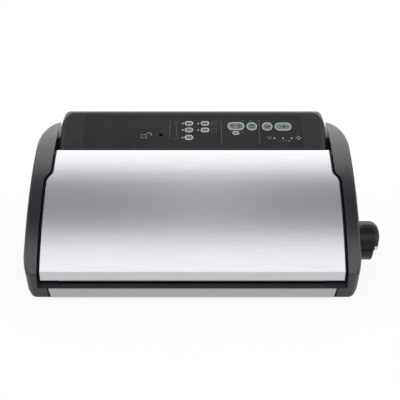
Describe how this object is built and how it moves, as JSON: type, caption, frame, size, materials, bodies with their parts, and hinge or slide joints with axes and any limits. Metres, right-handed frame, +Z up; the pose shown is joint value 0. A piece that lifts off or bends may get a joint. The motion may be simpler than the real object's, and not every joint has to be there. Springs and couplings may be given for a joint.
{
  "type": "vacuum sealer",
  "caption": "Countertop vacuum sealer with a bowed steel lid on rear hinge pins, a side latch knob with cross shaft and hooks, a sloping button panel and a sealing chamber.",
  "frame": {"origin": "under the middle of the outer box, on the plane the feet stand on", "axes": "+X to the user's right, +Y to the back, +Z up"},
  "size_m": [0.4138, 0.2246, 0.1409],
  "materials": {
    "brushed_steel": "brushed across",
    "black_satin": "satin",
    "black_textured": "fine grain",
    "panel_film": "satin film",
    "button_grey": "satin",
    "silver_trim": "satin silver",
    "lamp": "frosted",
    "black_rubber": "matt",
    "grey_silicone": "matt",
    "inner_plastic": "moulded",
    "tape": "coated glass cloth",
    "plain_steel": "plain",
    "board": "printed board",
    "pump_metal": "cast",
    "core_iron": "laminated"
  },
  "bodies": {
    "base": {"base_tray": "black_textured", "front_strip": "brushed_steel", "side_cover_left": "black_satin", "side_cover_right": "black_satin", "base_deck": "black_textured", "rear_cover": "black_satin", "cord_gland": "black_textured", "rubber_feet": "black_rubber", "base_screws": "plain_steel", "control_housing": "black_satin", "control_fascia": "panel_film", "button_bezels": "silver_trim", "indicator_lenses": "lamp", "control_board": "board", "board_screws": "plain_steel", "tact_switches": "inner_plastic", "accessory_port": "black_rubber", "accessory_hose": "black_rubber", "solenoid_valve": "pump_metal", "suction_elbow": "inner_plastic", "vacuum_hose": "black_rubber", "pump_body": "pump_metal", "pump_motor": "pump_metal", "pump_plate": "plain_steel", "pump_screws": "plain_steel", "transformer": "core_iron", "seal_bar": "inner_plastic", "heating_element": "plain_steel", "seal_tape": "tape", "drip_tray": "black_textured", "lower_gasket": "black_rubber", "hinge_bushes": "inner_plastic", "shaft_brackets": "inner_plastic"},
    "lid": {"lid_skin": "brushed_steel", "lid_frame": "black_satin", "upper_gasket": "black_rubber", "pressure_strip": "grey_silicone", "hinge_pins": "plain_steel"},
    "latch": {"latch_knob": "black_satin", "knob_pointer": "silver_trim", "latch_shaft": "plain_steel", "shaft_clips": "plain_steel", "latch_hook_left": "inner_plastic", "latch_hook_right": "inner_plastic"},
    "button_dry": {"button_dry": "button_grey"},
    "button_moist": {"button_moist": "button_grey"},
    "button_canister": {"button_canister": "button_grey"},
    "button_gentle": {"button_gentle": "button_grey"},
    "button_normal": {"button_normal": "button_grey"},
    "button_vacuum": {"button_vacuum": "button_grey"},
    "button_option": {"button_option": "button_grey"},
    "button_seal": {"button_seal": "button_grey"},
    "button_crush": {"button_crush": "button_grey"},
    "button_start": {"button_start": "button_grey"}
  },
  "joints": [
    {"name": "lid_hinge", "type": "hinge", "parent": "base", "child": "lid", "pos_m": [-0.01295, 0.03825, 0.112], "axis": [-1, 0, 0], "range_deg": [0, 70]},
    {"name": "latch_turn", "type": "hinge", "parent": "base", "child": "latch", "pos_m": [-0.01295, -0.04975, 0.041], "axis": [1, 0, 0], "range_deg": [0, 85]},
    {"name": "button_dry_press", "type": "slide", "parent": "base", "child": "button_dry", "axis": [0, 0.4226, -0.9063], "range_m": [0, 0.0007], "stiffness_N_per_m": 400},
    {"name": "button_moist_press", "type": "slide", "parent": "base", "child": "button_moist", "axis": [0, 0.4226, -0.9063], "range_m": [0, 0.0007], "stiffness_N_per_m": 400},
    {"name": "button_canister_press", "type": "slide", "parent": "base", "child": "button_canister", "axis": [0, 0.4226, -0.9063], "range_m": [0, 0.0007], "stiffness_N_per_m": 400},
    {"name": "button_gentle_press", "type": "slide", "parent": "base", "child": "button_gentle", "axis": [0, 0.4226, -0.9063], "range_m": [0, 0.0007], "stiffness_N_per_m": 400},
    {"name": "button_normal_press", "type": "slide", "parent": "base", "child": "button_normal", "axis": [0, 0.4226, -0.9063], "range_m": [0, 0.0007], "stiffness_N_per_m": 400},
    {"name": "button_vacuum_press", "type": "slide", "parent": "base", "child": "button_vacuum", "axis": [0, 0.4226, -0.9063], "range_m": [0, 0.0007], "stiffness_N_per_m": 400},
    {"name": "button_option_press", "type": "slide", "parent": "base", "child": "button_option", "axis": [0, 0.4226, -0.9063], "range_m": [0, 0.0007], "stiffness_N_per_m": 400},
    {"name": "button_seal_press", "type": "slide", "parent": "base", "child": "button_seal", "axis": [0, 0.4226, -0.9063], "range_m": [0, 0.0007], "stiffness_N_per_m": 400},
    {"name": "button_crush_press", "type": "slide", "parent": "base", "child": "button_crush", "axis": [0, 0.4226, -0.9063], "range_m": [0, 0.0007], "stiffness_N_per_m": 400},
    {"name": "button_start_press", "type": "slide", "parent": "base", "child": "button_start", "axis": [0, 0.4226, -0.9063], "range_m": [0, 0.0007], "stiffness_N_per_m": 400}
  ]
}
